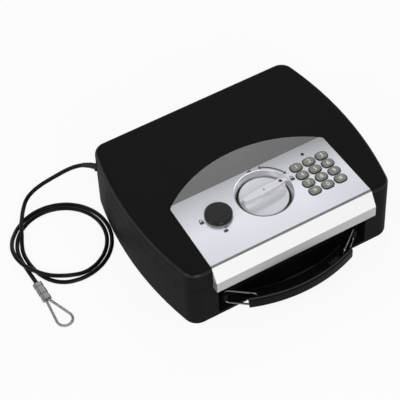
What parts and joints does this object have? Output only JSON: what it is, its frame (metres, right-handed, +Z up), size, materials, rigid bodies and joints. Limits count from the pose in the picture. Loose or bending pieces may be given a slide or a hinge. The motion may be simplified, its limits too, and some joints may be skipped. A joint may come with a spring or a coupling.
{
  "type": "portable electronic safe",
  "caption": "Low bowed case with a hinged lid, keypad and knob lock, folding front grip and a coiled tether cable",
  "frame": {"origin": "on the surface under the feet, below the middle of the case with its hinges and grip", "axes": "+X to the right, +Y to the back, +Z up"},
  "size_m": [0.3895, 0.2896, 0.0946],
  "materials": {
    "black_enamel": "fine matt texture",
    "mat_rubber": "studded rubber sheet",
    "foot_rubber": "matt",
    "zinc_steel": "zinc plated",
    "bright_steel": "bright drawn",
    "screw_steel": "zinc plated",
    "screw_black": "black oxide",
    "black_plastic": "moulded",
    "cable_vinyl": "glossy sheath over steel strand",
    "crimp_aluminium": "crimped",
    "liner_plastic": "moulded",
    "silver_plastic": "satin silver paint",
    "chromed_plastic": "chrome plated",
    "silver_knob": "satin silver paint",
    "key_rubber": "matt",
    "lens_plastic": "clear dark lens",
    "board_laminate": "solder mask",
    "battery_case": "plain sleeve",
    "coil_varnish": "varnished winding",
    "lock_brass": "turned",
    "cap_plastic": "glossy rim",
    "grip_plastic": "satin"
  },
  "bodies": {
    "base": {"body_shell": "black_enamel", "floor_mat": "mat_rubber", "feet": "foot_rubber", "hinge_base_leaves": "zinc_steel", "hinge_pins": "bright_steel", "hinge_base_screws": "screw_steel", "strike_plate": "zinc_steel", "strike_screws": "screw_steel", "handle_brackets": "black_plastic", "bracket_screws": "screw_steel", "cable_grommet": "foot_rubber", "cable_stop": "bright_steel", "cable_lead": "cable_vinyl", "cable_coil": "cable_vinyl", "cable_ferrule": "crimp_aluminium", "cable_eye": "bright_steel"},
    "lid": {"lid_shell": "black_enamel", "lid_liner": "liner_plastic", "liner_screws": "screw_black", "fascia": "silver_plastic", "knob_dish": "chromed_plastic", "keypad_mat": "key_rubber", "status_light": "lens_plastic", "circuit_board": "board_laminate", "battery_tray": "liner_plastic", "batteries": "battery_case", "battery_contacts": "bright_steel", "solenoid_body": "coil_varnish", "key_lock_housing": "zinc_steel", "key_lock_nut": "zinc_steel", "latch_guides": "liner_plastic", "lock_chassis": "zinc_steel", "chassis_screws": "screw_steel", "hinge_lid_leaves": "zinc_steel", "hinge_lid_screws": "screw_steel"},
    "knob": {"knob": "silver_knob", "knob_cam": "zinc_steel", "knob_clip": "bright_steel"},
    "latch": {"latch_bar": "bright_steel"},
    "key_plug": {"key_plug": "lock_brass", "key_cam": "zinc_steel"},
    "lock_cap": {"lock_cap": "cap_plastic"},
    "solenoid_plunger": {"solenoid_plunger": "bright_steel"},
    "battery_door": {"battery_door": "liner_plastic"},
    "grip": {"handle_grip": "grip_plastic"},
    "left_link": {"left_wire_link": "bright_steel"},
    "right_link": {"right_wire_link": "bright_steel"},
    "key_1": {"key_1": "key_rubber"},
    "key_2": {"key_2": "key_rubber"},
    "key_3": {"key_3": "key_rubber"},
    "key_4": {"key_4": "key_rubber"},
    "key_5": {"key_5": "key_rubber"},
    "key_6": {"key_6": "key_rubber"},
    "key_7": {"key_7": "key_rubber"},
    "key_8": {"key_8": "key_rubber"},
    "key_9": {"key_9": "key_rubber"},
    "key_star": {"key_star": "key_rubber"},
    "key_0": {"key_0": "key_rubber"},
    "key_hash": {"key_hash": "key_rubber"}
  },
  "joints": [
    {"name": "lid_hinge", "type": "hinge", "parent": "base", "child": "lid", "pos_m": [0, 0.1238, 0.0601], "axis": [-1, 0, 0], "range_deg": [0, 95]},
    {"name": "knob_turn", "type": "hinge", "parent": "lid", "child": "knob", "pos_m": [0, -0.0366, 0.08], "axis": [0, 0, 1], "range_deg": [0, 80]},
    {"name": "latch_slide", "type": "slide", "parent": "lid", "child": "latch", "axis": [0, 1, 0], "range_m": [0, 0.0081]},
    {"name": "key_lock_turn", "type": "hinge", "parent": "lid", "child": "key_plug", "pos_m": [-0.0576, -0.0376, 0.08], "axis": [0, 0, 1], "range_deg": [0, 90]},
    {"name": "cap_pull", "type": "slide", "parent": "lid", "child": "lock_cap", "axis": [0, 0, 1], "range_m": [0, 0.01]},
    {"name": "plunger_slide", "type": "slide", "parent": "lid", "child": "solenoid_plunger", "axis": [-1, 0, 0], "range_m": [0, 0.003], "stiffness_N_per_m": 60},
    {"name": "battery_door_slide", "type": "slide", "parent": "lid", "child": "battery_door", "axis": [1, 0, 0], "range_m": [0, 0.04]},
    {"name": "grip_slide", "type": "slide", "parent": "base", "child": "grip", "axis": [0, 1, 0], "range_m": [0, 0.016]},
    {"name": "left_link_swing", "type": "hinge", "parent": "base", "child": "left_link", "pos_m": [-0.083, -0.0902, 0.0225], "axis": [0, 0, 1], "range_deg": [0, 26]},
    {"name": "right_link_swing", "type": "hinge", "parent": "base", "child": "right_link", "pos_m": [0.083, -0.0902, 0.0225], "axis": [0, 0, 1], "range_deg": [-26, 0]},
    {"name": "key_1_press", "type": "slide", "parent": "lid", "child": "key_1", "axis": [0, 0, -1], "range_m": [0, 0.0012], "stiffness_N_per_m": 300},
    {"name": "key_2_press", "type": "slide", "parent": "lid", "child": "key_2", "axis": [0, 0, -1], "range_m": [0, 0.0012], "stiffness_N_per_m": 300},
    {"name": "key_3_press", "type": "slide", "parent": "lid", "child": "key_3", "axis": [0, 0, -1], "range_m": [0, 0.0012], "stiffness_N_per_m": 300},
    {"name": "key_4_press", "type": "slide", "parent": "lid", "child": "key_4", "axis": [0, 0, -1], "range_m": [0, 0.0012], "stiffness_N_per_m": 300},
    {"name": "key_5_press", "type": "slide", "parent": "lid", "child": "key_5", "axis": [0, 0, -1], "range_m": [0, 0.0012], "stiffness_N_per_m": 300},
    {"name": "key_6_press", "type": "slide", "parent": "lid", "child": "key_6", "axis": [0, 0, -1], "range_m": [0, 0.0012], "stiffness_N_per_m": 300},
    {"name": "key_7_press", "type": "slide", "parent": "lid", "child": "key_7", "axis": [0, 0, -1], "range_m": [0, 0.0012], "stiffness_N_per_m": 300},
    {"name": "key_8_press", "type": "slide", "parent": "lid", "child": "key_8", "axis": [0, 0, -1], "range_m": [0, 0.0012], "stiffness_N_per_m": 300},
    {"name": "key_9_press", "type": "slide", "parent": "lid", "child": "key_9", "axis": [0, 0, -1], "range_m": [0, 0.0012], "stiffness_N_per_m": 300},
    {"name": "key_star_press", "type": "slide", "parent": "lid", "child": "key_star", "axis": [0, 0, -1], "range_m": [0, 0.0012], "stiffness_N_per_m": 300},
    {"name": "key_0_press", "type": "slide", "parent": "lid", "child": "key_0", "axis": [0, 0, -1], "range_m": [0, 0.0012], "stiffness_N_per_m": 300},
    {"name": "key_hash_press", "type": "slide", "parent": "lid", "child": "key_hash", "axis": [0, 0, -1], "range_m": [0, 0.0012], "stiffness_N_per_m": 300}
  ],
  "couplings": [
    {"joint": "latch_slide", "follows": "knob_turn", "m_per_rad": 0.00573},
    {"joint": "left_link_swing", "follows": "grip_slide", "rad_per_m": 27.87},
    {"joint": "right_link_swing", "follows": "grip_slide", "rad_per_m": -27.87}
  ]
}
